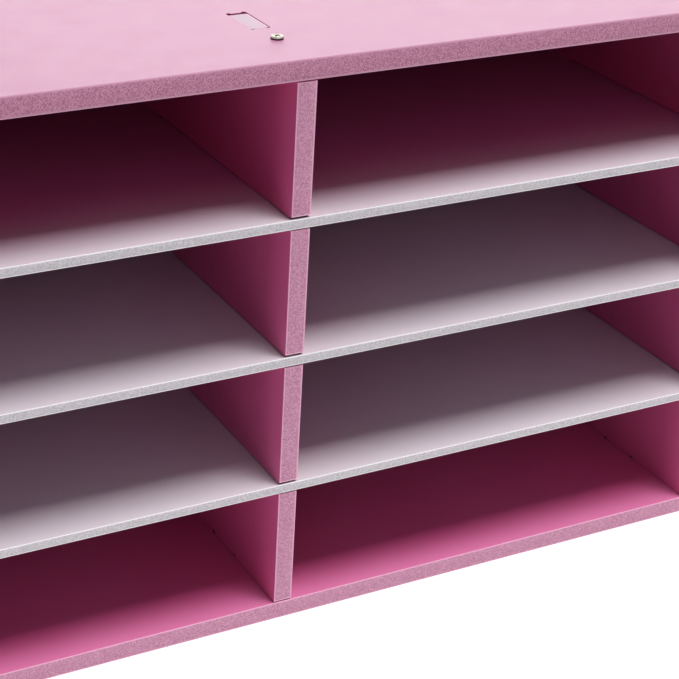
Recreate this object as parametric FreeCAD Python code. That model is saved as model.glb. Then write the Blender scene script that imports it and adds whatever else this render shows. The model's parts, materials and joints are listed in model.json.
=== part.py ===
# Mail sorter with four rows and three columns of letter slots.
# Ten routed foam PVC boards: thick pink carcass boards and thin light grey shelves.
# The uprights join the top and the bottom by through tenons and pan head screws.
# The shelves cross the dividers in halving slots and end in tenons in the sides.
# Millimetres. X runs along the width, Y from front to back, Z up.
# The origin is the centre of the footprint, on the surface that the sorter stands on.

import FreeCAD, Part
import math
import os

V = FreeCAD.Vector

# Overall size
width = 800.0
depth = 300.0
height = 300.0

# Boards
carcass_t = 10.0
shelf_t = 5.0
back_t = 5.0
columns = 3
rows = 4

# Fits and edges
fit = 0.2
slot_play = 0.5
mortise_play = 1.8
tenon_recess = 0.2
arris = 0.25
bevel_lift = 0.6
bevel_lead = 2.5
router_r = 1.25

# Tenons of the uprights, from the front and back edges of the sorter
tenon_edge = 49.0
tenon_length = 23.0

# Tenons at the shelf ends, from the front and back edges of the sorter
shelf_tenon_edge = 60.0
shelf_tenon_length = 30.0

# Halving of shelf and divider, from the front edge
halving_depth = 150.0

# Screws
screw_to_tenon = 18.0
screw_length = 25.0
shank_d = 3.5
point_length = 4.0
head_d = 6.2
head_h = 1.8
head_rim = 0.7
dome_in = 0.5
dome_drop = 0.35
crown_d = 3.8
tip_d = 0.6
recess_w = 1.1
recess_span = 3.6
recess_depth = 1.25
hole_play = 0.2
pilot_play = 0.1
counterbore_play = 0.8
head_sink = 0.6
back_screw_edge = 40.0
back_screw_count = 3

# Sides of the small round forms, few because they repeat so often
relief_sides = 12
shank_sides = 6
head_sides = 12

# Derived sizes and places
front_y = -depth / 2
back_y = depth / 2
inner_w = width - 2 * carcass_t
inner_h = height - 2 * carcass_t
column_w = (inner_w - (columns - 1) * carcass_t) / columns
row_h = (inner_h - (rows - 1) * shelf_t) / rows
upright_end = back_y - back_t
shelf_end = upright_end - slot_play
halving_y = front_y + halving_depth
relief_corner_r = router_r / math.cos(math.pi / relief_sides)
clearance_r = shank_d / 2 + hole_play
pilot_r = shank_d / 2 + pilot_play
counterbore_r = head_d / 2 + counterbore_play
counterbore_h = head_h + head_sink
pilot_reach = screw_length + hole_play
past = 1.0  # how far a cut runs past the face it opens
X = V(1, 0, 0)
Z = V(0, 0, 1)


def from_both_edges(edge, length):
    """Two spans along the depth, set in alike from the front and the back."""
    return [
        (front_y + edge, front_y + edge + length),
        (back_y - edge - length, back_y - edge),
    ]


upright_x = [(column_w + carcass_t) * (i - columns / 2) for i in range(columns + 1)]
divider_x = upright_x[1:-1]
shelf_z = [carcass_t + row_h + i * (row_h + shelf_t) for i in range(rows - 1)]
tenon_spans = from_both_edges(tenon_edge, tenon_length)
shelf_tenon_spans = from_both_edges(shelf_tenon_edge, shelf_tenon_length)
screw_y = [tenon_spans[0][0] - screw_to_tenon, tenon_spans[1][1] + screw_to_tenon]
back_screw_step = (height - 2 * back_screw_edge) / (back_screw_count - 1)
back_screw_z = [back_screw_edge + i * back_screw_step for i in range(back_screw_count)]


def box(x0, x1, y0, y1, z0, z1):
    """Block between three pairs of limits."""
    return Part.makeBox(x1 - x0, y1 - y0, z1 - z0, V(x0, y0, z0))


def level(u, v, w):
    """Point of a level board: across the width, along the depth, up."""
    return V(u, v, w)


def on_edge(u, v, w):
    """Point of a board on edge: along the depth, up, across the width."""
    return V(w, u, v)


def routed(outline, lay, w0, w1):
    """Board cut along a closed outline, between its two faces."""
    corners = [lay(u, v, w0) for u, v in outline]
    return Part.Face(Part.makePolygon(corners + corners[:1])).extrude(lay(0, 0, w1 - w0))


def ring(radius, sides, z):
    """Closed regular outline round the Z axis, at one height."""
    corners = [
        V(0, 0, z) + FreeCAD.Rotation(Z, 360 * (i + 0.5) / sides).multVec(V(radius, 0, 0))
        for i in range(sides)
    ]
    return Part.makePolygon(corners + corners[:1])


def rod(radius, sides, start, end):
    """Straight rod of even section between two points."""
    run = end - start
    blank = Part.Face(ring(radius, sides, 0)).extrude(V(0, 0, run.Length))
    blank.Placement = FreeCAD.Placement(start, FreeCAD.Rotation(Z, run))
    return blank


def relief(start, end):
    """Round bite at a corner, where the router runs on past a wall.

    Its flats are a bit's radius from its middle, so that one of them is in line
    with the side that the router follows.
    """
    return rod(relief_corner_r, relief_sides, start, end)


def bore(radius, start, end):
    """Hole for a screw shank."""
    return rod(radius, shank_sides, start, end)


def near(a, b):
    return abs(a - b) < 1e-4


def edges_along(shape, direction, test):
    """Straight edges that run one way and whose middles pass the test."""
    chosen = []
    for edge in shape.Edges:
        straight = isinstance(edge.Curve, Part.Line)
        if straight and near(abs(edge.Curve.Direction.dot(direction)), 1) and test(edge.CenterOfMass):
            chosen.append(edge)
    return chosen


def front_edges(shape, direction):
    return edges_along(shape, direction, lambda point: near(point.y, front_y))


def across(x, grow):
    """Limits of an upright's thickness, grown on both faces."""
    return x - carcass_t / 2 - grow, x + carcass_t / 2 + grow


def deck_mortises(z0, z1):
    """Slots through the top or the bottom for the tenons of the uprights.

    A tenon bears on the front end of its slot, and the play is behind it.
    """
    cuts = []
    for x in upright_x:
        x0, x1 = across(x, fit)
        for y0, y1 in tenon_spans:
            y0, y1 = y0 - fit, y1 + mortise_play
            cuts.append(box(x0, x1, y0, y1, z0, z1))
            for u in (x0 + router_r, x1 - router_r):
                if abs(u) > width / 2 - carcass_t / 2:
                    continue
                for v in (y0, y1):
                    cuts.append(relief(V(u, v, z0), V(u, v, z1)))
    return cuts


def make_deck(z0):
    """Top or bottom board with eased arrises, slots for tenons and holes for screws."""
    deck = box(-width / 2, width / 2, front_y, back_y, z0, z0 + carcass_t)
    long_and_short = [edge for edge in deck.Edges if not near(edge.Length, carcass_t)]
    deck = deck.makeFillet(arris, long_and_short)
    low, high = z0 - past, z0 + carcass_t + past
    holes = [bore(clearance_r, V(x, y, low), V(x, y, high)) for x in upright_x for y in screw_y]
    return deck.cut(deck_mortises(low, high) + holes)


def make_bottom():
    """Bottom board, with the screw heads let in so that it stands flat."""
    seats = [
        rod(counterbore_r, head_sides, V(x, y, -past), V(x, y, counterbore_h))
        for x in upright_x
        for y in screw_y
    ]
    return make_deck(0).cut(seats)


def root_reliefs(x):
    """Bites into the shoulders beside the tenons, in line with the tenons' sides."""
    x0, x1 = across(x, past)
    cuts = []
    for y0, y1 in tenon_spans:
        for y in (y0 - router_r, y1 + router_r):
            for z in (carcass_t, height - carcass_t):
                cuts.append(relief(V(x0, y, z), V(x1, y, z)))
    return cuts


def pilot_holes(x):
    """Blind holes in the edges of an upright for the screws that hold it."""
    cuts = []
    for y in screw_y:
        cuts.append(bore(pilot_r, V(x, y, height), V(x, y, height - pilot_reach)))
        cuts.append(bore(pilot_r, V(x, y, 0), V(x, y, counterbore_h + pilot_reach)))
    for z in back_screw_z:
        cuts.append(bore(pilot_r, V(x, back_y, z), V(x, back_y - pilot_reach, z)))
    return cuts


def upright_outline(slots):
    """Corners of an upright, up its back edge and down its front past the slots.

    Each slot is given by its lower and upper side. At the front, every end of
    the edge falls away in a shallow bevel, which leads a shelf in.
    """
    low, high = carcass_t, height - carcass_t
    lead = front_y + bevel_lead
    corners = [(lead, low)]
    for y0, y1 in tenon_spans:
        corners += [(y0, low), (y0, tenon_recess), (y1, tenon_recess), (y1, low)]
    corners += [(upright_end, low), (upright_end, high)]
    end = height - tenon_recess
    for y0, y1 in reversed(tenon_spans):
        corners += [(y1, high), (y1, end), (y0, end), (y0, high)]
    corners += [(lead, high), (front_y, high - bevel_lift)]
    for z0, z1 in reversed(slots):
        corners += [(front_y, z1 + bevel_lift), (lead, z1), (halving_y + fit, z1)]
        corners += [(halving_y + fit, z0), (lead, z0), (front_y, z0 - bevel_lift)]
    return corners + [(front_y, low + bevel_lift)]


def make_upright(x, slots):
    """Board on edge with four tenons and the long arrises of its front eased."""
    x0, x1 = across(x, 0)
    board = routed(upright_outline(slots), on_edge, x0, x1)
    return board.makeFillet(arris, front_edges(board, Z))


def shelf_gap(z):
    """Lower and upper side of a slot for the shelf that lies at z."""
    return z, z + shelf_t + slot_play


def make_divider(x):
    """Inner upright, slotted from the front for the shelves."""
    x0, x1 = across(x, past)
    slots = [shelf_gap(z) for z in shelf_z]
    y = halving_y + fit
    cuts = [
        relief(V(x0, y, v), V(x1, y, v))
        for z0, z1 in slots
        for v in (z0 + router_r, z1 - router_r)
    ]
    return make_upright(x, slots).cut(cuts + pilot_holes(x) + root_reliefs(x))


def make_side(x):
    """End upright with through slots for the tenons of the shelves."""
    x0, x1 = across(x, past)
    cuts = pilot_holes(x) + root_reliefs(x)
    for z0, z1 in [shelf_gap(z) for z in shelf_z]:
        for y0, y1 in shelf_tenon_spans:
            y0, y1 = y0 - fit, y1 + fit
            cuts.append(box(x0, x1, y0, y1, z0, z1))
            for y in (y0, y1):
                for v in (z0 + router_r, z1 - router_r):
                    cuts.append(relief(V(x0, y, v), V(x1, y, v)))
    return make_upright(x, []).cut(cuts)


def shelf_outline():
    """Corners of a shelf, along its front, round its tenons and its slots behind."""
    side = inner_w / 2
    reach = width / 2 - tenon_recess
    corners = [(-side, front_y), (side, front_y)]
    for y0, y1 in shelf_tenon_spans:
        corners += [(side, y0), (reach, y0), (reach, y1), (side, y1)]
    corners.append((side, shelf_end))
    for x in reversed(divider_x):
        x0, x1 = across(x, fit)
        corners += [(x1, shelf_end), (x1, halving_y), (x0, halving_y), (x0, shelf_end)]
    corners.append((-side, shelf_end))
    for y0, y1 in reversed(shelf_tenon_spans):
        corners += [(-side, y1), (-reach, y1), (-reach, y0), (-side, y0)]
    return corners


def make_shelf(z):
    """Thin board with end tenons, slotted from the back for the dividers."""
    shelf = routed(shelf_outline(), level, z, z + shelf_t)
    shelf = shelf.makeFillet(arris, front_edges(shelf, X))
    low, high = z - past, z + shelf_t + past
    cuts = []
    for x in divider_x:
        x0, x1 = across(x, fit)
        for u in (x0 + router_r, x1 - router_r):
            cuts.append(relief(V(u, halving_y, low), V(u, halving_y, high)))
    return shelf.cut(cuts)


def make_back():
    """Thin board behind the uprights, between the top and the bottom."""
    low = carcass_t
    high = height - carcass_t
    back = box(-width / 2, width / 2, upright_end, back_y, low, high)
    outer = edges_along(back, Z, lambda point: near(point.y, back_y))
    back = back.makeFillet(arris, outer)
    holes = [
        bore(clearance_r, V(x, upright_end - past, z), V(x, back_y + past, z))
        for x in upright_x
        for z in back_screw_z
    ]
    return back.cut(holes)


def loft(stations, sides):
    """Solid through regular outlines, given as radius and height."""
    return Part.makeLoft([ring(radius, sides, z) for radius, z in stations], True, True)


def make_screw():
    """Pan head screw with a cross recess, pointing down, its head seated at the origin."""
    head_r = head_d / 2
    shank_r = shank_d / 2
    dome = [(head_r, head_rim), (head_r - dome_in, head_h - dome_drop), (crown_d / 2, head_h)]
    neck = point_length - screw_length
    head = loft([(head_r, 0)] + dome, head_sides)
    shank = loft([(tip_d / 2, -screw_length), (shank_r, neck), (shank_r, 0)], shank_sides)
    long = recess_span / 2
    short = recess_w / 2
    low = head_h - recess_depth
    bars = [
        box(-long, long, -short, short, low, head_h + past),
        box(-short, short, -long, long, low, head_h + past),
    ]
    return head.fuse(shank).cut(bars)


def placed_screws(places, angle):
    """One solid for each screw, turned about X and set at its seat."""
    screw = make_screw()
    screw.rotate(V(0, 0, 0), X, angle)
    return Part.makeCompound([screw.translated(place) for place in places])


def save(name, shape):
    """Write a piece, with faces that touch in one plane made one."""
    shape = shape.removeSplitter()
    shape.exportStep(os.path.join("parts", name + ".step"))
    print(name, len(shape.Solids), "solids", round(shape.Volume / 1000, 2), "cm3", shape.isValid())


os.makedirs("parts", exist_ok=True)

pieces = {
    "top_panel": make_deck(height - carcass_t),
    "bottom_panel": make_bottom(),
    "left_side": make_side(upright_x[0]),
    "right_side": make_side(upright_x[-1]),
    "back_panel": make_back(),
}
for number, x in enumerate(divider_x, 1):
    pieces["divider_%d" % number] = make_divider(x)
for number, z in enumerate(shelf_z, 1):
    pieces["shelf_%d" % number] = make_shelf(z)

top_seats = [V(x, y, height) for x in upright_x for y in screw_y]
bottom_seats = [V(x, y, counterbore_h) for x in upright_x for y in screw_y]
back_seats = [V(x, back_y, z) for x in upright_x for z in back_screw_z]
pieces["top_screws"] = placed_screws(top_seats, 0)
pieces["bottom_screws"] = placed_screws(bottom_seats, 180)
pieces["back_screws"] = placed_screws(back_seats, -90)

for name, shape in pieces.items():
    save(name, shape)

print("slots %.2f wide and %.2f high" % (column_w, row_h))
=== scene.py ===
# %% [markdown]
# # A pink mail sorter, dressed for its portrait
# The sorter is ten routed boards of foam PVC, held by tenons, halving joints and
# pan head screws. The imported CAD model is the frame: it says where every board
# is. Here each board gets the fine rounding, the skin and the cut foam that a
# CAD solid leaves out, and the screws get their domes and threads.

# %% Load the frame
import bpy
import bmesh
import json
import math
from mathutils import Matrix, Vector, geometry

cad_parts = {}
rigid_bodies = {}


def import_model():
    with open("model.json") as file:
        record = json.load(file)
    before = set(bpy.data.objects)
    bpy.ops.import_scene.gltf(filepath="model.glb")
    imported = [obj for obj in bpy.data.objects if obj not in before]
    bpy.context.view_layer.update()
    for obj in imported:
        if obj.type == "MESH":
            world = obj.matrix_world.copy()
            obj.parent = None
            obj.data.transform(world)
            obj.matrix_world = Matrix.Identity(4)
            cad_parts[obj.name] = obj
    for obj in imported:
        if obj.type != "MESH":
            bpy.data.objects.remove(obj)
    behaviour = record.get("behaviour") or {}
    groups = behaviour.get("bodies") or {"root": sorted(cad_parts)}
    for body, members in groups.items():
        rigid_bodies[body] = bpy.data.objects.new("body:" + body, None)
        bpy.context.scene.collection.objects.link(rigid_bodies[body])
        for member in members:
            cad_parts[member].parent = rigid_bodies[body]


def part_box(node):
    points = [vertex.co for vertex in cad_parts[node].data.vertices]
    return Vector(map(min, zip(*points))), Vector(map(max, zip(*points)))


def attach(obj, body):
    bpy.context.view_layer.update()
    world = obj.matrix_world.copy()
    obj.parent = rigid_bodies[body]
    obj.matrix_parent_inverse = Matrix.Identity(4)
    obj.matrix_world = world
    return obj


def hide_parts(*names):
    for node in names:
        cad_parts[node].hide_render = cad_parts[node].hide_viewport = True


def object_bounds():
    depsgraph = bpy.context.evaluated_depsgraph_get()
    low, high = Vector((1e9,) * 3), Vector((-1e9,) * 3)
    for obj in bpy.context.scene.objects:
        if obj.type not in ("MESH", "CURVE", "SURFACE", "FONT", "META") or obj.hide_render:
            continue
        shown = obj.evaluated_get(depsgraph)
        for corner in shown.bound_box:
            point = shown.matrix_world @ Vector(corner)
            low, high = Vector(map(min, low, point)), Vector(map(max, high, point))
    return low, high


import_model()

MM = 0.001
cad_box = [list(corner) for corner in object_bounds()]
print("CAD box", cad_box)

# %% [markdown]
# ## The camera
# The photograph is a close view from the left and above, cropped out of a larger
# picture, so its vanishing points don't meet in the middle. A camera could be
# set by eye, but long straight boards show every error. So the place, turn and
# lens were worked out from the edges of the boards. The crop is a shift of the
# lens, and no other trick is needed.

# %% The camera
PIXELS = 679
FOCAL = 1763.3  # focal length in pixels
CENTRE = (246.29, 379.65)  # where the lens points, in pixels from the top left
FILM = 36  # width of the film in millimetres
NEAREST, FARTHEST = 0.05, 50  # metres
EYE = Vector((-492.81, -809.95, 539.42)) * MM
RIGHT = Vector((0.898148, -0.438636, 0.030484))
DOWN = Vector((-0.182234, -0.434442, -0.882072))
AHEAD = Vector((0.400151, 0.786676, -0.470128))

lens = bpy.data.cameras.new("portrait_lens")
lens.sensor_width = FILM
lens.lens = FOCAL / PIXELS * FILM
lens.shift_x = (PIXELS / 2 - CENTRE[0]) / PIXELS
lens.shift_y = (CENTRE[1] - PIXELS / 2) / PIXELS
lens.clip_start, lens.clip_end = NEAREST, FARTHEST
camera = bpy.data.objects.new("portrait_camera", lens)
turn = Matrix((RIGHT, -DOWN, -AHEAD)).transposed()
camera.matrix_world = Matrix.Translation(EYE) @ turn.to_4x4()
bpy.context.scene.collection.objects.link(camera)
bpy.context.scene.camera = camera
print("lens %.1f mm, shift %.3f %.3f" % (lens.lens, lens.shift_x, lens.shift_y))

# %% [markdown]
# ## Writing shaders as sums
# A Math node for every sum soon hides what a material does. This small class
# wraps a node's socket, so that a + b, 1 - mask or a * b adds the node itself.
# Colours don't go through Math nodes, which would turn them grey, so they are
# blended by a helper of their own. The same class serves for Geometry Nodes.

# %% A socket that can be reckoned with
class Sock:
    """One output of a node tree, or a plain number on its way into one."""

    def __init__(self, tree, out):
        self.tree, self.out = tree, out

    def math(self, operation, other=None, swap=False, clamp=False):
        """One Math node on this value and, where there is one, another."""
        pair = [other, self] if swap else [self, other]
        made = self.tree.nodes.new("ShaderNodeMath")
        made.operation, made.use_clamp = operation, clamp
        for place, value in enumerate(pair):
            if value is not None:
                plug(self.tree, made.inputs[place], value)
        return Sock(self.tree, made.outputs[0])

    def __add__(self, other): return self.math("ADD", other)
    def __radd__(self, other): return self.math("ADD", other, swap=True)
    def __sub__(self, other): return self.math("SUBTRACT", other)
    def __rsub__(self, other): return self.math("SUBTRACT", other, swap=True)
    def __mul__(self, other): return self.math("MULTIPLY", other)
    def __rmul__(self, other): return self.math("MULTIPLY", other, swap=True)
    def __truediv__(self, other): return self.math("DIVIDE", other)
    def __pow__(self, other): return self.math("POWER", other)
    def __neg__(self): return self * -1.0
    def __gt__(self, other): return self.math("GREATER_THAN", other)
    def __lt__(self, other): return self.math("LESS_THAN", other)

    def abs(self): return self.math("ABSOLUTE")
    def clamp(self): return self.math("ADD", 0.0, clamp=True)
    def max(self, other): return self.math("MAXIMUM", other)
    def min(self, other): return self.math("MINIMUM", other)

    def ramp(self, low, high, to_low=0.0, to_high=1.0):
        """Smooth step from one value to another."""
        return add_node(
            self.tree, "ShaderNodeMapRange",
            settings={"interpolation_type": "SMOOTHSTEP"},
            Value=self, From_Min=low, From_Max=high, To_Min=to_low, To_Max=to_high,
        )


print("sockets can be added, scaled and compared")

# %% Nodes and colours
def plug(tree, socket, value):
    """A link or a plain value into a socket."""
    if isinstance(value, Sock):
        tree.links.new(value.out, socket)
    else:
        socket.default_value = value


def add_node(tree, kind, outlet=0, settings=(), **sockets):
    """Any node: its settings first, then its sockets by identifier or name."""
    made = tree.nodes.new(kind)
    for name, value in dict(settings).items():
        setattr(made, name, value)
    for name, value in sockets.items():
        plain = name.replace("_", " ")
        live = [s for s in made.inputs if s.enabled and plain in (s.name, s.identifier)]
        exact = [s for s in made.inputs if s.identifier == name]
        plug(tree, (exact or live)[0], value)
    return Sock(tree, made.outputs[outlet])


def blend(mask, under, over):
    """Two colours mixed by a mask."""
    tree = mask.tree
    made = tree.nodes.new("ShaderNodeMix")
    made.data_type = "RGBA"
    plug(tree, made.inputs[0], mask)
    plug(tree, made.inputs[6], under)
    plug(tree, made.inputs[7], over)
    return Sock(tree, made.outputs[2])


def srgb(red, green, blue):
    """A colour as it is seen, in steps of 255, for a shader that wants it linear."""
    def linear(step):
        part = step / 255
        return part / 12.92 if part <= 0.04045 else ((part + 0.055) / 1.055) ** 2.4
    return (linear(red), linear(green), linear(blue), 1.0)


def grey(level):
    """A plain grey from 0, black, to 1, white."""
    return (level, level, level, 1)


print("pure red is", [round(part, 3) for part in srgb(255, 0, 0)])

# %% Materials and patterns
def new_material(name):
    """An empty material: its tree and its main shader."""
    material = bpy.data.materials.new(name)
    material.use_nodes = True
    tree = material.node_tree
    return material, tree, tree.nodes["Principled BSDF"]


def parts_of(vector):
    """The three parts of a vector."""
    made = vector.tree.nodes.new("ShaderNodeSeparateXYZ")
    vector.tree.links.new(vector.out, made.inputs[0])
    return [Sock(vector.tree, out) for out in made.outputs]


def place_on(tree):
    """Where a point lies, in the object's own coordinates."""
    return add_node(tree, "ShaderNodeTexCoord", outlet=3)


def own(tree, mark):
    """A value that the piece's mesh carries."""
    return add_node(
        tree, "ShaderNodeAttribute", outlet=2, settings={"attribute_name": mark},
    )


def noise(tree, scale, **sockets):
    """Soft noise at so many repeats for each metre."""
    return add_node(
        tree, "ShaderNodeTexNoise", Vector=place_on(tree), Scale=scale, **sockets,
    )


def cells(tree, scale):
    """Scattered cells, 0 in the middle of each, so many for each metre."""
    return add_node(
        tree, "ShaderNodeTexVoronoi", Vector=place_on(tree), Scale=scale,
        Randomness=1.0,
    )


print("shader helpers ready")

# %% [markdown]
# ## Foam PVC board
# The sheet has a dense smooth skin on both faces and a core of tiny bubbles. The
# router leaves that core bare on every cut edge: paler, rougher, pitted, with
# the skin as a thin smooth line along both arrises, painted paler than the skin
# as a highlight. One rule tells the three apart, the depth below the nearest
# face, which each board carries as an attribute of its mesh. Painting each edge
# by hand would do too, but the rule finds every slot by itself. Three more
# attributes mark single places: chalk the sawn ends of tenons, rim the lower
# ends of front edges, where a highlight line is painted, and a third the walls
# of slots and mortises, where shade is painted.
#
# The photograph shows each skin in a deeper colour inside the slots than near
# the front edge, because the boards light one another there. The lamps alone
# give only a part of this, so the colour itself deepens from the front inwards.

# %% Colour inside the slots
OUTER_SKIN = 3  # millimetres at the outer faces where the colour stays plain


def painted_shade_inward(tree, fade):
    """Painted shade mask: 0 on the front edge and outer faces, 1 beyond fade millimetres
    inside.
    """
    x, y, z = parts_of(place_on(tree))
    from_outside = (cad_box[1][0] - x.abs()).min(cad_box[1][1] - y).min(z)
    buried = from_outside > OUTER_SKIN * MM
    return (y - cad_box[0][1]).ramp(2 * MM, fade * MM) * buried


print("front edge at y", cad_box[0][1])

# %% [markdown]
# The bubbles are too small and too many to model, so they are a texture. Three
# patterns lie over one another: fine grain, lumps of grain, and single pores.
# They drive both the colour of the core and its relief, so that the pits are
# dark where they are deep: painted shade in the pits, over the grain's own tone.

# %% Relief of the foam
# Repeats of each pattern for each metre.
CLOUD, RUB, PEEL = 9, 60, 900
GRAIN, LUMP, PORE, SPECK = 1850, 800, 2300, 150


def foam_relief(tree, foam, grain, lump, pore):
    """The skin's faint orange peel, and the pits of the bare foam over it."""
    peel = noise(tree, PEEL, Detail=2.0, Roughness=0.5)
    fine = add_node(
        tree, "ShaderNodeBump", Strength=0.10, Distance=0.06 * MM, Height=peel,
    )
    pitted = (grain * 0.5 + lump * 0.5 - pore * 0.55) * foam
    return add_node(
        tree, "ShaderNodeBump", Strength=0.55, Distance=0.28 * MM, Height=pitted,
        Normal=fine,
    )


print("grain of", round(1 / GRAIN / MM, 2), "mm")

# %% Foam PVC material
FACE_END = (0.02, 0.10)  # depths in millimetres between which a face ends
LINE_END = 0.25  # depth in millimetres where the skin's line begins to end
PAINTED_HIGHLIGHT = srgb(255, 205, 230)
SAWN_RIM, SAWN_HEART = srgb(212, 180, 199), srgb(201, 187, 197)
CORE_ROUGHNESS = 0.86


def foam_board(name, skin, deep, fade, painted_slot_shade, core, pit, line, seam, gloss):
    """A board's skin and its cut foam, parted by the depth below the face.

    The skin turns from skin to deep, a painted shade, over fade millimetres inside the
    slots. The line colour is the skin seen on edge, painted paler as a highlight, and
    seam is the depth in millimetres where the core is quite bare.
    """
    material, tree, shader = new_material(name)
    depth = own(tree, "depth_mm")
    cut = depth.ramp(*FACE_END)
    foam = depth.ramp(LINE_END, seam)
    cloud = noise(tree, CLOUD, Detail=3.0, Roughness=0.55)
    rub = noise(tree, RUB, Detail=5.0, Roughness=0.6)
    grain = noise(tree, GRAIN, Detail=2.0, Roughness=0.7)
    lump = noise(tree, LUMP, Detail=2.0, Roughness=0.6)
    pore = cells(tree, PORE).ramp(0.12, 0.42, 1.0, 0.0)
    speck = cells(tree, SPECK).ramp(0.035, 0.06, 1.0, 0.0)

    # painted shade: from the front edge inwards the skin turns to the deep colour
    face = blend(painted_shade_inward(tree, fade), skin, deep)
    face = blend(cloud.ramp(0.3, 0.7) * 0.05, face, line)
    coarse = (grain * 0.85 + lump * 0.15).ramp(0.44, 0.56)
    # painted shade: pores take the pit colour; the grain's mix of core and pit is its own
    # tone
    bare = blend(pore * 0.6, blend(coarse, core, pit), pit)
    # painted highlight: near each arris the cut takes the line colour, paler than the skin
    edge = blend(foam, line, bare)
    # painted shade: the walls of slots, mortises and bevels take a darker colour
    edge = blend(own(tree, "painted_shade_wall").ramp(0.2, 0.6), edge, painted_slot_shade)
    # painted highlight: a bright line above each lower end of a front edge
    edge = blend(own(tree, "rim").ramp(0.15, 0.6), edge, PAINTED_HIGHLIGHT)
    sawn = blend(depth.ramp(0.2, 3.2), SAWN_RIM, SAWN_HEART)
    edge = blend(own(tree, "chalk").ramp(0.9, 1.0) * 0.85, edge, sawn)
    tone = blend(cut, face, edge)
    # painted shade: stray pores on the cut take the pit colour
    tone = blend(speck * cut * 0.45, tone, pit)

    rough_skin = gloss + (rub - 0.5) * 0.16
    rough = rough_skin * (1 - foam) + CORE_ROUGHNESS * foam
    plug(tree, shader.inputs["Base Color"], tone)
    plug(tree, shader.inputs["Roughness"], rough)
    plug(tree, shader.inputs["Normal"], foam_relief(tree, foam, grain, lump, pore))
    shader.inputs["IOR"].default_value = 1.5
    return material


print("foam board material ready")

# %% [markdown]
# The uprights are the strongest pink. The bottom's skin is a little paler, a
# painted light for its lit face, and the top's skin the palest, a painted sheen,
# with its cut edges painted a shade deeper. The shelves are grey. The top shelf
# alone lies under a pink board, and the pink light of that board is painted on
# its skin inside the slots.

# %% The boards' colours
PINK = {
    "deep": srgb(197, 78, 130), "fade": 27, "painted_slot_shade": srgb(150, 48, 90),
    "core": srgb(218, 162, 188), "pit": srgb(188, 123, 155),
    "line": srgb(238, 178, 208), "seam": 1.0, "gloss": 0.42,
}
pink_board = foam_board("pink_foam_pvc", skin=srgb(219, 95, 150), **PINK)
# painted light: the bottom's skin is paler than the uprights' for its lit upper face
base_board = foam_board("pink_foam_pvc_painted_light", skin=srgb(203, 106, 153), **PINK)
# painted sheen on the top's paler skin, painted shade on its deeper cut edges
top_board = foam_board(
    "pink_foam_pvc_painted_sheen_and_shade", skin=srgb(174, 119, 147), deep=srgb(174, 119, 147), fade=27,
    painted_slot_shade=srgb(150, 52, 94), core=srgb(211, 149, 176), pit=srgb(173, 110, 140),
    line=srgb(216, 156, 186), seam=1.25, gloss=0.42,
)
GREY = {
    "skin": srgb(198, 187, 195), "painted_slot_shade": srgb(190, 170, 184),
    "core": srgb(223, 217, 223), "pit": srgb(194, 189, 194),
    "line": srgb(255, 250, 254), "seam": 0.75, "gloss": 0.45,
}
grey_board = foam_board("grey_foam_pvc", deep=srgb(198, 174, 191), fade=55, **GREY)
# painted light: the top shelf's skin turns pink inside the slots, for the pink board above
grey_board_painted_pink_light = foam_board("grey_foam_pvc_painted_pink_light", deep=srgb(179, 106, 152), fade=66, **GREY)
board_finishes = [pink_board, base_board, top_board, grey_board, grey_board_painted_pink_light]
print("boards in", ", ".join(finish.name for finish in board_finishes))

# %% [markdown]
# ## Cutting a board
# A router cuts a board along flat outlines, and a round bit can't cut a square
# inner corner. So it runs a little past each one and leaves a round bite, the
# dog-bone that lets a square tenon in. Cutters and Boolean modifiers could make
# the slots, but they leave thin stray faces beside every bite. Here an outline
# is a list of corners in which each inner corner is marked, and the bite is
# drawn by rule.

# %% Outlines with bites
BIT = 1.25 * MM  # radius of the router bit
BITE_STEPS, HOLE_STEPS = 12, 24


def bite(corner, along, across):
    """A half round at an inner corner, run on past the wall and flush with the side.

    The wall lies across, and the bit runs on along, into the material.
    """
    centre = Vector(corner) + Vector(across) * BIT
    turns = [math.pi * step / BITE_STEPS for step in range(BITE_STEPS + 1)]
    return [
        centre + (Vector(along) * math.sin(a) - Vector(across) * math.cos(a)) * BIT
        for a in turns
    ]


def outline(corners):
    """A closed outline from (u, v) corners; "in" or "out" marks a bitten corner.

    The bite runs on in the line of the side that comes in to the corner, or of
    the side that goes out from it.
    """
    points = []
    for place, corner in enumerate(corners):
        here = Vector(corner[:2])
        if len(corner) == 3:
            last, coming = corners[place - 1], corners[(place + 1) % len(corners)]
            before = (here - Vector(last[:2])).normalized()
            after = (Vector(coming[:2]) - here).normalized()
            if corner[2] == "in":
                points += bite(here, before, after)
            else:
                points += reversed(bite(here, -after, -before))
        else:
            points.append(here)
    return points


def mortise(u0, u1, v0, v1, long_way="v"):
    """A slot with its corners bitten at both ends, walked clockwise as a hole is."""
    first, then = ("in", "out") if long_way == "v" else ("out", "in")
    return outline([(u0, v0, then), (u0, v1, first), (u1, v1, then), (u1, v0, first)])


def round_hole(u, v, radius):
    """A screw's hole, walked clockwise."""
    angles = [-2 * math.pi * step / HOLE_STEPS for step in range(HOLE_STEPS)]
    rim = [(u + radius * math.cos(a), v + radius * math.sin(a)) for a in angles]
    return [Vector(point) for point in rim]


print("a bite of", len(bite((0, 0), (0, 1), (1, 0))), "points")

# %% [markdown]
# ## From outline to board
# Each outline becomes a wall through the sheet. Near both faces the wall turns
# in a small quarter round, the eased arris that catches the light in the
# photograph. A Bevel modifier would round it too, but the rows of points made
# here also carry their depth below the nearest face, which the material needs.
# The faces are filled between the outlines.

# %% Walls with eased arrises
ARRIS = 0.18 * MM
ROUND_STEPS = 4
MITRE_LIMIT = 0.35  # keeps the points of very sharp corners near


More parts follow.
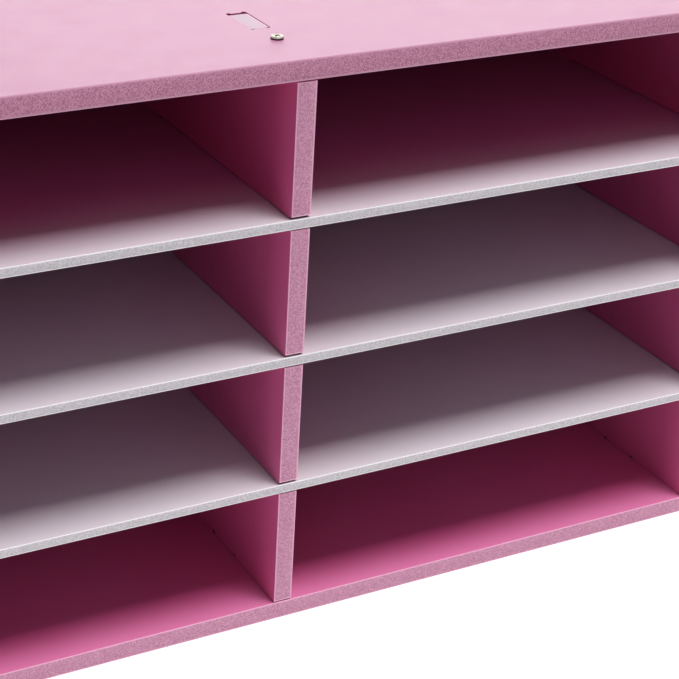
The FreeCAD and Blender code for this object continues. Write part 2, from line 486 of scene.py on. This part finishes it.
def wall_rows(low, high, arris):
    """(set-in, height) of each row of a wall with eased arrises, top first."""
    turns = [math.pi / 2 * step / ROUND_STEPS for step in range(ROUND_STEPS + 1)]
    top = [(arris * (1 - math.sin(a)), high - arris * (1 - math.cos(a))) for a in turns]
    foot = [(inset, low + high - height) for inset, height in reversed(top)]
    return top + [(0.0, (low + high) / 2)] + foot


def set_in(points, amount):
    """An outline moved into the material, which lies to the left of its walk."""
    moved = []
    for place, point in enumerate(points):
        before = (point - points[place - 1]).normalized()
        after = (points[(place + 1) % len(points)] - point).normalized()
        left_a, left_b = Vector((-before.y, before.x)), Vector((-after.y, after.x))
        mitre = (left_a + left_b) / max(1 + left_a.dot(left_b), MITRE_LIMIT)
        moved.append(point + mitre * amount)
    return moved


print("a wall of", len(wall_rows(0, 1, ARRIS)), "rows")

# %% Board maker
WELD = 1e-7  # metres within which two points are one
CRISP = math.radians(28)  # an edge that turns more than this is shaded sharp


def make_board(name, low, high, loops, turn, material, stepped=(), marks=()):
    """A board from its loops: the outer one anticlockwise, the holes clockwise.

    Stepped gives the rows of any loop whose wall isn't straight. Each mark names
    an attribute and the test that sets it to 1 on a point.
    """
    form = bmesh.new()
    layers = form.verts.layers.float
    depth = layers.new("depth_mm")
    marks = [(layers.new(mark), test) for mark, test in dict(marks).items()]
    top_rims, foot_rims = [], []
    for number, points in enumerate(loops):
        rows = dict(stepped).get(number) or wall_rows(low, high, ARRIS)
        made = []
        for inset, height in rows:
            row = []
            for point in set_in(points, inset):
                vert = form.verts.new(turn(point.x, point.y, height))
                vert[depth] = min(high - height, height - low) / MM
                for mark, test in marks:
                    vert[mark] = float(test(vert.co))
                row.append(vert)
            made.append(row)
        for upper, lower in zip(made, made[1:]):
            for a in range(len(points)):
                b = (a + 1) % len(points)
                form.faces.new((upper[a], lower[a], lower[b], upper[b]))
        top_rims.append(made[0])
        foot_rims.append(made[-1])
    walls = set(form.faces)
    for rims in (top_rims, foot_rims):
        flat = [[turn.flat(vert.co) for vert in row] for row in rims]
        verts = [vert for row in rims for vert in row]
        for corners in geometry.tessellate_polygon(flat):
            form.faces.new([verts[corner] for corner in corners])
    bmesh.ops.remove_doubles(form, verts=form.verts, dist=WELD)
    bmesh.ops.recalc_face_normals(form, faces=form.faces)
    for face in form.faces:
        face.smooth = face in walls
    for edge in form.edges:
        if len(edge.link_faces) == 2 and edge.calc_face_angle(0) > CRISP:
            edge.smooth = False
    mesh = bpy.data.meshes.new(name)
    form.to_mesh(mesh)
    form.free()
    mesh.materials.append(material)
    piece = bpy.data.objects.new(name, mesh)
    bpy.context.scene.collection.objects.link(piece)
    print(name, len(mesh.polygons), "faces")
    return piece


print("board maker ready")

# %% How a board lies
class Lay:
    """Which ways the two sides of a board's plan and its thickness run."""

    def __init__(self, u, v, w):
        self.u, self.v, self.w = Vector(u), Vector(v), Vector(w)

    def __call__(self, a, b, c):
        """A point of the plan, at a place in the thickness, in space."""
        return self.u * a + self.v * b + self.w * c

    def flat(self, point):
        """A point in space, back on the plan."""
        return Vector((point.dot(self.u), point.dot(self.v), 0))


FLAT = Lay((1, 0, 0), (0, 1, 0), (0, 0, 1))  # decks and shelves
UPRIGHT = Lay((0, 1, 0), (0, 0, 1), (1, 0, 0))  # sides and dividers
BEHIND = Lay((1, 0, 0), (0, 0, 1), (0, 1, 0))  # the back
print("a flat board's thickness runs along", tuple(FLAT.w))

# %% [markdown]
# ## Places on the sorter
# The frame gives the size and place of each board. The joints' places come from
# a few lengths that repeat: how far a tenon is from the edge, how long it is,
# and how far its screw stands from it. Reading the boards from the frame, and
# not writing them again, keeps each new board in its old one's place.

# %% Places on the sorter
top_low, top_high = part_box("top_panel")
foot_low, foot_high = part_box("bottom_panel")
shelves = ["shelf_1", "shelf_2", "shelf_3"]
dividers = ["divider_1", "divider_2"]
sides = ["left_side", "right_side"]
front, back = top_low.y, top_high.y
left, right = top_low.x, top_high.x
thick = top_high.z - top_low.z
upright_middles = sorted(
    (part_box(name)[0].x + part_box(name)[1].x) / 2 for name in sides + dividers
)
shelf_undersides = [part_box(name)[0].z for name in shelves]
SLOT_HIGH = 5.5 * MM  # a shelf's thickness and its play
HALF_WAY = 0.0  # where the slots of shelves and dividers meet
UPRIGHT_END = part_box("back_panel")[0].y


def two_spans(edge, length):
    """A joint's span near the front and its twin near the back."""
    return [(front + edge, front + edge + length), (back - edge - length, back - edge)]


tenons = two_spans(49 * MM, 23 * MM)
shelf_tenons = two_spans(60 * MM, 30 * MM)
SCREW_OFF = 18 * MM  # from a tenon to its screw
screw_rows = [tenons[0][0] - SCREW_OFF, tenons[1][1] + SCREW_OFF]
CLEARANCE = 1.95 * MM  # radius of a screw's hole
print("uprights at", [round(x / MM, 1) for x in upright_middles])

# %% [markdown]
# ## Top and bottom
# Both decks have the same plan. The inner uprights come up through closed
# mortises, and the end uprights through notches that are open to the deck's
# ends. The screw heads of the bottom are let in, so that it stands flat: its
# holes are round walls with a step, which the board maker takes as rows.

# %% The decks' plan
FIT = 0.2 * MM  # beside each tenon, and before it
PLAY = 1.8 * MM  # behind each tenon in its mortise


def deck_outline():
    """The deck's edge, with the notches for the end uprights."""
    reach = thick + FIT
    corners = [(left, front), (right, front)]
    for y0, y1 in tenons:
        corners += [
            (right, y0 - FIT), (right - reach, y0 - FIT, "out"),
            (right - reach, y1 + PLAY, "in"), (right, y1 + PLAY),
        ]
    corners += [(right, back), (left, back)]
    for y0, y1 in reversed(tenons):
        corners += [
            (left, y1 + PLAY), (left + reach, y1 + PLAY, "out"),
            (left + reach, y0 - FIT, "in"), (left, y0 - FIT),
        ]
    return outline(corners)


def deck_loops():
    """The deck's outline, mortises and screw holes, and which loops are holes."""
    half = thick / 2 + FIT
    loops = [deck_outline()]
    for x in upright_middles[1:-1]:
        loops += [mortise(x - half, x + half, y0 - FIT, y1 + PLAY) for y0, y1 in tenons]
    first_hole = len(loops)
    loops += [round_hole(x, y, CLEARANCE) for x in upright_middles for y in screw_rows]
    return loops, range(first_hole, len(loops))


deck_plan, deck_holes = deck_loops()
print("a deck of", len(deck_plan), "loops,", len(deck_holes), "of them screw holes")

# %% Top and bottom boards
SEAT_RADIUS, SEAT_DEPTH = 3.9 * MM, 2.4 * MM
SEAT_ARRIS = 0.25 * MM


def seat_rows(low, high):
    """A screw hole whose lower end is wide enough for the head."""
    rows = wall_rows(low, high, SEAT_ARRIS)
    upper = [row for row in rows if row[1] > (low + high) / 2]
    lower = [row for row in rows if row[1] < (low + high) / 2]
    wider = SEAT_RADIUS - CLEARANCE
    step = [(0.0, low + SEAT_DEPTH), (wider, low + SEAT_DEPTH)]
    return upper + step + [(inset + wider, height) for inset, height in lower]


def in_mortise(point):
    """The walls of the mortises and notches, where a darker shade is painted."""
    return front + thick < point.y < back - thick and abs(point.x) < right - 2 * ARRIS


def finish_underside(piece, material):
    """Another finish for the face that looks down."""
    piece.data.materials.append(material)
    lowest = min(vert.co.z for vert in piece.data.vertices)
    for face in piece.data.polygons:
        if face.center.z < lowest + ARRIS / 8:
            face.material_index = 1


deck_marks = {"painted_shade_wall": in_mortise}
top = make_board(
    "top_board", top_low.z, top_high.z, deck_plan, FLAT, top_board, marks=deck_marks,
)
finish_underside(top, pink_board)
seats = {hole: seat_rows(foot_low.z, foot_high.z) for hole in deck_holes}
bottom = make_board(
    "bottom_board", foot_low.z, foot_high.z, deck_plan, FLAT, base_board, seats,
    marks=deck_marks,
)

# %% [markdown]
# ## Uprights
# A divider is halved from the front: at each shelf a slot runs in to half its
# depth. The ends of its front edge are bevelled between the slots. An end
# upright isn't halved. The shelves' tenons come through it instead. Each test
# below says whether a point bears a mark: sawn ends, the painted highlight line
# on lower ends and the painted shade on bevels and slot walls are small, so
# they are marked on the points and not drawn as a texture.

# %% Marks on the uprights
LIFT, LEAD = 0.8 * MM, 2.5 * MM  # the bevel on the ends of a front edge
RIM = 0.6 * MM  # the painted highlight line above a front edge's lower end
TURN = 0.35 * MM  # from the front edge to where the painted shade covers the whole bevel
SHORT = 0.2 * MM  # how far a tenon's end stays below the surface
floor_z, ceiling_z = foot_high.z, top_low.z


def tenon_end(point):
    """The sawn ends of the tenons, which are paler."""
    reach = 1.2 * SHORT
    return point.z > top_high.z - reach or point.z < reach


def lower_end(point):
    """The lower ends of an upright's front edges, where a highlight line is painted."""
    ends = [floor_z + LIFT] + [z + SLOT_HIGH + LIFT for z in shelf_undersides]
    return point.y < front + TURN / 2 and min(abs(point.z - z) for z in ends) < RIM / 2


def under_end(point):
    """The bevels and slots of an upright, where a darker shade is painted."""
    return front + TURN < point.y < UPRIGHT_END - MM


upright_marks = {"chalk": tenon_end, "rim": lower_end, "painted_shade_wall": under_end}
print("marks on the uprights:", ", ".join(upright_marks))

# %% The uprights' plan
def low_bevel(z):
    """The outline under a front edge's lower end, from the front into the slot.

    A point stands on each side of the turn, so that the marks end there.
    """
    start = Vector((front, z + LIFT))
    end = Vector((front + LEAD, z))
    return [start + Vector((0, RIM)), start, start.lerp(end, 1.1 * TURN / LEAD), end]


def upright_corners(slots):
    """An upright's outline, walked up its back edge and down its front."""
    corners = []
    for y0, y1 in tenons:
        corners += [
            (y0, floor_z, "out"), (y0, SHORT), (y1, SHORT), (y1, floor_z, "in"),
        ]
    corners += [(UPRIGHT_END, floor_z), (UPRIGHT_END, ceiling_z)]
    top_end = top_high.z - SHORT
    for y0, y1 in reversed(tenons):
        corners += [
            (y1, ceiling_z, "out"), (y1, top_end), (y0, top_end), (y0, ceiling_z, "in"),
        ]
    corners += [(front + LEAD, ceiling_z), (front, ceiling_z - LIFT)]
    for z in reversed(slots):
        head = z + SLOT_HIGH
        corners += low_bevel(head) + [
            (HALF_WAY + FIT, head, "in"),
            (HALF_WAY + FIT, z, "out"), (front + LEAD, z), (front, z - LIFT),
        ]
    return corners + low_bevel(floor_z)


print("a divider of", len(upright_corners(shelf_undersides)), "corners")

# %% Dividers and sides
def make_upright(node, name, plans):
    """A board on edge, in the place of a node."""
    low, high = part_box(node)
    return make_board(
        name, low.x, high.x, plans, UPRIGHT, pink_board, marks=upright_marks,
    )


divider_plans = [outline(upright_corners(shelf_undersides))]
side_plans = [outline(upright_corners([]))] + [
    mortise(y0 - FIT, y1 + FIT, z, z + SLOT_HIGH, long_way="u")
    for z in shelf_undersides for y0, y1 in shelf_tenons
]
pieces = {"top_panel": top, "bottom_panel": bottom}
for node in dividers:
    name = node.replace("divider", "upright")
    pieces[node] = make_upright(node, name, divider_plans)
for node in sides:
    pieces[node] = make_upright(node, node + "_board", side_plans)

# %% [markdown]
# ## Shelves and back
# The thin grey shelves are halved from behind, as far as the dividers' slots
# reach, and their tenons come through the end uprights. One plan serves for all
# three. The back is a plain thin board with screw holes.

# %% Shelves
inner_left, inner_right = left + thick, right - thick
SHELF_END = UPRIGHT_END - 0.5 * MM


def shelf_outline():
    """A shelf's edge, round its tenons and its slots behind."""
    half = thick / 2 + FIT
    corners = [(inner_left, front), (inner_right, front)]
    for y0, y1 in shelf_tenons:
        reach = right - SHORT
        corners += [(inner_right, y0), (reach, y0), (reach, y1), (inner_right, y1)]
    corners.append((inner_right, SHELF_END))
    for x in reversed(upright_middles[1:-1]):
        corners += [
            (x + half, SHELF_END), (x + half, HALF_WAY, "in"),
            (x - half, HALF_WAY, "out"), (x - half, SHELF_END),
        ]
    corners.append((inner_left, SHELF_END))
    for y0, y1 in reversed(shelf_tenons):
        reach = left + SHORT
        corners += [(inner_left, y1), (reach, y1), (reach, y0), (inner_left, y0)]
    return outline(corners)


shelf_plans = [shelf_outline()]
for node in shelves:
    low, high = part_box(node)
    sheet = grey_board_painted_pink_light if node == shelves[-1] else grey_board
    pieces[node] = make_board(node + "_board", low.z, high.z, shelf_plans, FLAT, sheet)
finish_underside(pieces[shelves[-1]], grey_board)

# %% The back
back_low, back_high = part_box("back_panel")
BACK_ROWS = [40 * MM, 150 * MM, 260 * MM]
plan = outline([
    (back_low.x, back_low.z), (back_high.x, back_low.z),
    (back_high.x, back_high.z), (back_low.x, back_high.z),
])
holes = [round_hole(x, z, CLEARANCE) for x in upright_middles for z in BACK_ROWS]
pieces["back_panel"] = make_board(
    "back_board", back_low.y, back_high.y, [plan] + holes, BEHIND, pink_board
)

# %% [markdown]
# ## Screws
# Twenty-eight pan head screws hold the boards, all of one kind. A screw could
# be modelled by hand and copied. One small tree of Geometry Nodes does both:
# it turns the screw from cylinders whose radius follows a rule, a dome for the
# head and a ridge that winds down the shank for the thread. Then the cross
# recess is cut out, and the screw is set on every seat. The steel is painted
# dark low on the rim and in the recess, a painted shade, and the mesh carries
# where that is.

# %% Steel
def zinc_steel():
    """Bright zinc on steel, a little warm, with painted shade low on the rim and in the
    recess.
    """
    material, tree, shader = new_material("zinc_plated_steel")
    haze = noise(tree, 700, Detail=4.0, Roughness=0.6)
    turned = noise(tree, 2600, Detail=2.0, Roughness=0.5)
    tone = blend(haze.ramp(0.35, 0.7), srgb(204, 200, 190), srgb(160, 154, 142))
    rise = own(tree, "rise_mm") + (haze - 0.5) * 0.5
    # painted shade: dark low on the head's rim and in the recess
    tone = blend(rise.ramp(0.55, 1.05, 1.0, 0.0), tone, srgb(52, 36, 38))
    plug(tree, shader.inputs["Base Color"], tone)
    plug(tree, shader.inputs["Roughness"], 0.26 + haze * 0.22)
    shader.inputs["Metallic"].default_value = 1.0
    bump = add_node(
        tree, "ShaderNodeBump", Strength=0.12, Distance=0.03 * MM, Height=turned,
    )
    plug(tree, shader.inputs["Normal"], bump)
    return material


steel = zinc_steel()
print("screws in", steel.name)

# %% Geometry Nodes helper
class Grove:
    """A Geometry Nodes tree under construction, with named inputs."""

    def __init__(self, name):
        self.tree = bpy.data.node_groups.new(name, "GeometryNodeTree")
        self.face = self.tree.interface
        shape = "NodeSocketGeometry"
        self.face.new_socket("Geometry", in_out="OUTPUT", socket_type=shape)
        self.face.new_socket("Seats", in_out="INPUT", socket_type=shape)
        self.into = self.tree.nodes.new("NodeGroupInput")
        self.out = self.tree.nodes.new("NodeGroupOutput")
        self.ids = {}

    def input(self, name, kind="NodeSocketFloat"):
        """A named input. The identifier is how a modifier finds it."""
        socket = self.face.new_socket(name, in_out="INPUT", socket_type=kind)
        self.ids[name] = socket.identifier
        return Sock(self.tree, [s for s in self.into.outputs if s.name == name][-1])

    def add(self, kind, outlet=0, settings=(), **sockets):
        return add_node(self.tree, kind, outlet, settings, **sockets)

    def build(self, x, y, z):
        """A vector from its three parts."""
        return self.add("ShaderNodeCombineXYZ", X=x, Y=y, Z=z)

    def place(self):
        """The three coordinates of each point."""
        return parts_of(self.add("GeometryNodeInputPosition"))

    def boolean(self, operation, parts, body=None):
        """Parts made one, or taken from a body."""
        made = self.tree.nodes.new("GeometryNodeMeshBoolean")
        made.operation, made.solver = operation, "MANIFOLD"
        if body is not None:
            self.tree.links.new(body.out, made.inputs[0])
        for part in parts:
            self.tree.links.new(part.out, made.inputs[1])
        return Sock(self.tree, made.outputs[0])

    def swept(self, mesh, radius_of):
        """A cylinder of radius 1 whose points move to the radius a rule gives."""
        x, y, z = self.place()
        radius = radius_of(x, y, z)
        spot = self.build(x * radius, y * radius, z)
        return self.add("GeometryNodeSetPosition", Geometry=mesh, Position=spot)

    def cylinder(self, around, along, high, top):
        """A closed cylinder of radius 1, from top down."""
        made = self.add(
            "GeometryNodeMeshCylinder", settings={"fill_type": "TRIANGLE_FAN"},
            Vertices=around, Side_Segments=along, Fill_Segments=6, Radius=1.0,
            Depth=high,
        )
        shift = self.build(0.0, 0.0, top - high / 2)
        return self.add("GeometryNodeTransform", Geometry=made, Translation=shift)


grove = Grove("pan_head_screw")
print("tree", grove.tree.name)

# %% [markdown]
# The screw stands with its seat at zero, the head above and the shank below. Its
# sizes are named inputs of the tree, so that another screw needs no new tree.

# %% The screw's sizes
head_radius, head_high = grove.input("Head radius"), grove.input("Head height")
shank_radius, shank_long = grove.input("Shank radius"), grove.input("Length")
point_long = grove.input("Point length")
pitch, ridge = grove.input("Thread pitch"), grove.input("Thread depth")
cross, deep = grove.input("Recess span"), grove.input("Recess depth")
finish = grove.input("Material", "NodeSocketMaterial")
print("inputs", ", ".join(grove.ids))

# %% Head and shank
OVERLAP = 0.4 * MM  # how far the shank runs on into the head
RUNOUT = 1.2 * MM  # over which the thread begins below the head
CORE_SHARE, TIP_SHARE = 0.74, 0.12  # of the shank's radius
SINK, RIM_SINK = 0.10, 0.42  # millimetres that the crown sinks, all over and at its rim


def dome(x, y, z):
    """The head's radius: it leans in a little, and its upper edge is rounded."""
    share = (z / head_high).clamp()
    return head_radius * (1 - 0.06 * share) * (1 - share ** 9 * 0.16)


def thread(x, y, z):
    """The shank's radius: a core with a ridge that winds down it to a point."""
    angle = y.math("ARCTAN2", x) / (2 * math.pi)
    wave = (z / pitch + angle).math("FRACT")
    tooth = (1 - (wave - 0.5).abs() * 5).max(0.0)
    body = (-z / RUNOUT).clamp()
    tip = ((z + shank_long) / point_long).clamp()
    radius = shank_radius * CORE_SHARE + ridge * tooth * body
    return radius * (TIP_SHARE + (1 - TIP_SHARE) * tip)


def crowned(head):
    """The head, with a crown that sinks a little from its middle to its rim."""
    x, y, z = grove.place()
    out = (x * x + y * y).math("SQRT") / head_radius
    drop = (SINK + out ** 2.5 * RIM_SINK) * MM * (z > head_high * 0.98)
    shift = grove.build(0.0, 0.0, -drop)
    return grove.add("GeometryNodeSetPosition", Geometry=head, Offset=shift)


head = crowned(grove.swept(grove.cylinder(40, 8, head_high, head_high), dome))
shank = grove.swept(grove.cylinder(16, 96, shank_long + OVERLAP, OVERLAP), thread)
blank = grove.boolean("UNION", [head, shank])
print("blank of", len(grove.tree.nodes), "nodes")

# %% The cross recess
BLADE_SHARE, TAPER = 0.3, 0.4  # a blade's width in its span, and its taper


def blade(turn):
    """One bar of the cross, narrower at its foot."""
    size = grove.build(cross, cross * BLADE_SHARE, deep * 2)
    bar = grove.add("GeometryNodeMeshCube", Size=size)
    x, y, z = grove.place()
    taper = 1 + (z / deep) * TAPER
    spot = grove.build(x * taper, y * taper, z + head_high)
    bar = grove.add("GeometryNodeSetPosition", Geometry=bar, Position=spot)
    return grove.add("GeometryNodeTransform", Geometry=bar, Rotation=(0.0, 0.0, turn))


star = grove.boolean("UNION", [blade(0.0), blade(math.pi / 2)])
screw = grove.boolean("DIFFERENCE", [star], body=blank)
print("screw of", len(grove.tree.nodes), "nodes")

# %% Marked for its painted shade, and set on the seats
x, y, z = grove.place()
middle = (x * x + y * y).math("SQRT") < cross * 0.56
sunk = middle * (z < head_high - 0.4 * MM) * (z > 0.0)
rise = (z / MM + 9 * (z < -0.1 * MM)).min(2.0) - 3 * sunk
marked = grove.add(
    "GeometryNodeStoreNamedAttribute", Geometry=screw, Name="rise_mm", Value=rise,
    settings={"data_type": "FLOAT", "domain": "POINT"},
)
facing = grove.add(
    "GeometryNodeInputNamedAttribute", Name="turn",
    settings={"data_type": "FLOAT_VECTOR"},
)
many = grove.add(
    "GeometryNodeInstanceOnPoints", Points=Sock(grove.tree, grove.into.outputs[0]),
    Instance=marked, Rotation=facing,
)
real = grove.add("GeometryNodeRealizeInstances", Geometry=many)
done = grove.add("GeometryNodeSetMaterial", Geometry=real, Material=finish)
grove.tree.links.new(done.out, grove.out.inputs[0])
print("screw tree of", len(grove.tree.nodes), "nodes")

# %% [markdown]
# Each group of screws is a cloud of seats with the way that the screw faces.
# The recess is turned a little differently on each, as a driver leaves it. The
# result is made one plain mesh, because an export would lose live instances.

# %% Setting the screws
FIRST_TURN, NEXT_TURN = 0.5, 2.4  # radians that the recesses are turned
CREASE = math.radians(38)  # an edge that turns more than this is shaded sharp
SCREW = {
    "Head radius": 3.1 * MM, "Head height": 1.8 * MM, "Shank radius": 1.75 * MM,
    "Length": 25 * MM, "Point length": 4 * MM, "Thread pitch": 1.5 * MM,
    "Thread depth": 0.42 * MM, "Recess span": 3.6 * MM, "Recess depth": 1.25 * MM,
    "Material": steel,
}


def set_screws(name, seats, tilt):
    """One mesh of screws on their seats, tilted about X and each turned its own way."""
    cloud = bpy.data.meshes.new(name + "_seats")
    cloud.from_pydata(seats, [], [])
    turn = cloud.attributes.new("turn", "FLOAT_VECTOR", "POINT")
    for place in range(len(seats)):
        spin = Matrix.Rotation(FIRST_TURN + NEXT_TURN * place, 3, "Z")
        facing = (Matrix.Rotation(tilt, 3, "X") @ spin).to_euler("XYZ")
        turn.data[place].vector = facing
    holder = bpy.data.objects.new(name, cloud)
    bpy.context.scene.collection.objects.link(holder)
    tree = holder.modifiers.new("screws", "NODES")
    tree.node_group = grove.tree
    for label, value in SCREW.items():
        tree[grove.ids[label]] = value
    ready = holder.evaluated_get(bpy.context.evaluated_depsgraph_get())
    mesh = bpy.data.meshes.new_from_object(ready)
    holder.modifiers.clear()
    holder.data = mesh
    mesh.name = name
    mesh.set_sharp_from_angle(angle=CREASE)
    print(name, len(mesh.polygons), "faces")
    return holder


seats = [(x, y, top_high.z) for x in upright_middles for y in screw_rows]
pieces["top_screws"] = set_screws("top_pan_heads", seats, 0)
seats = [(x, y, SEAT_DEPTH) for x in upright_middles for y in screw_rows]
pieces["bottom_screws"] = set_screws("bottom_pan_heads", seats, math.pi)
seats = [(x, back, z) for x in upright_middles for z in BACK_ROWS]
pieces["back_screws"] = set_screws("back_pan_heads", seats, -math.pi / 2)

# %% [markdown]
# ## Pieces in the frame
# Every new piece stands for one CAD node, whose part it hides, and moves with
# the sorter's only body.

# %% Pieces and nodes
for node, piece in pieces.items():
    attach(piece, "root")
    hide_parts(node)

# %% [markdown]
# ## Floor, backdrop and light
# The photograph has a white sweep under a broad lamp, almost overhead and a
# little in front: the slots are bright for a finger's width behind their front
# edge and fade quickly. The paper carries a painted pool of light: it is
# palest round the sorter and throws light up at the boards. Farther out it is
# painted greyer, and the camera alone sees it as white, by a glow that lights
# nothing. More light would whiten the paper too, but it would bleach the
# boards. Pale walls round the table fill the rest.

# %% Floor
POOL = (0.5, 1.3)  # metres from the middle between which the painted pool of light fades to grey
REACH = 12


def floor_material():
    """White paper with a painted pool of light. Its glow for the camera is weak enough to
    keep the shadow.
    """
    material, tree, shader = new_material("white_paper")
    mottle = noise(tree, 3, Detail=2.0)
    tone = blend(mottle * 0.04, srgb(240, 240, 240), srgb(232, 232, 232))
    x, y = parts_of(place_on(tree))[:2]
    far = (x * x * 0.5 + y * y).math("SQRT").ramp(*POOL)
    # painted pool of light: the paper greys away from the sorter
    plug(tree, shader.inputs["Base Color"], blend(far, tone, grey(0.3)))
    shader.inputs["Roughness"].default_value = 0.9
    shader.inputs["Specular IOR Level"].default_value = 0.1
    seen = add_node(tree, "ShaderNodeLightPath")
    glow = blend(seen, grey(0), blend(far, grey(0.25), grey(0.85)))
    plug(tree, shader.inputs["Emission Color"], glow)
    shader.inputs["Emission Strength"].default_value = 1.0
    return material


floor_mesh = bpy.data.meshes.new("floor")
floor_mesh.from_pydata(
    [(-REACH, -REACH, 0), (REACH, -REACH, 0), (REACH, REACH, 0), (-REACH, REACH, 0)],
    [], [(0, 1, 2, 3)],
)
floor = bpy.data.objects.new("floor", floor_mesh)
floor_mesh.materials.append(floor_material())
bpy.context.scene.collection.objects.link(floor)
print("floor of", 2 * REACH, "metres")

# %% World
FILL = 0.22  # light from the walls, which camera and mirrors see as white
world = bpy.data.worlds.new("studio")
bpy.context.scene.world = world
world.use_nodes = True
tree = world.node_tree
sky = tree.nodes["Background"]
paths = tree.nodes.new("ShaderNodeLightPath")
seen, mirrored, through = [
    Sock(tree, paths.outputs["Is %s Ray" % kind])
    for kind in ("Camera", "Glossy", "Transmission")
]
white = seen.max(mirrored).max(through)
plug(tree, sky.inputs["Color"], blend(white, grey(FILL), grey(1)))
sky.inputs["Strength"].default_value = 1.0
print("fill light", FILL)

# %% Lamps
AIM = Vector((0, 0, 0.15))  # the middle of the sorter


def soft_lamp(name, toward, distance, across, power):
    """A square soft lamp that looks at the sorter from one direction."""
    light = bpy.data.lights.new(name, "AREA")
    light.shape, light.size, light.energy = "SQUARE", across, power
    lamp = bpy.data.objects.new(name, light)
    back_way = Vector(toward).normalized()
    lamp.location = AIM + back_way * distance
    side = Vector((0, 1, 0)).cross(back_way).normalized()
    turn = Matrix((side, back_way.cross(side), back_way)).transposed()
    lamp.rotation_mode = "QUATERNION"
    lamp.rotation_quaternion = turn.to_quaternion()
    lamp.visible_camera = False
    bpy.context.scene.collection.objects.link(lamp)
    print(name, power, "watts")


soft_lamp("overhead_lamp", (0.21, -0.22, 1.0), distance=9.0, across=3.9, power=980)
soft_lamp("back_lamp", (0.45, 0.85, 0.30), distance=3.0, across=2.2, power=22)
bpy.context.scene.view_settings.view_transform = "Standard"
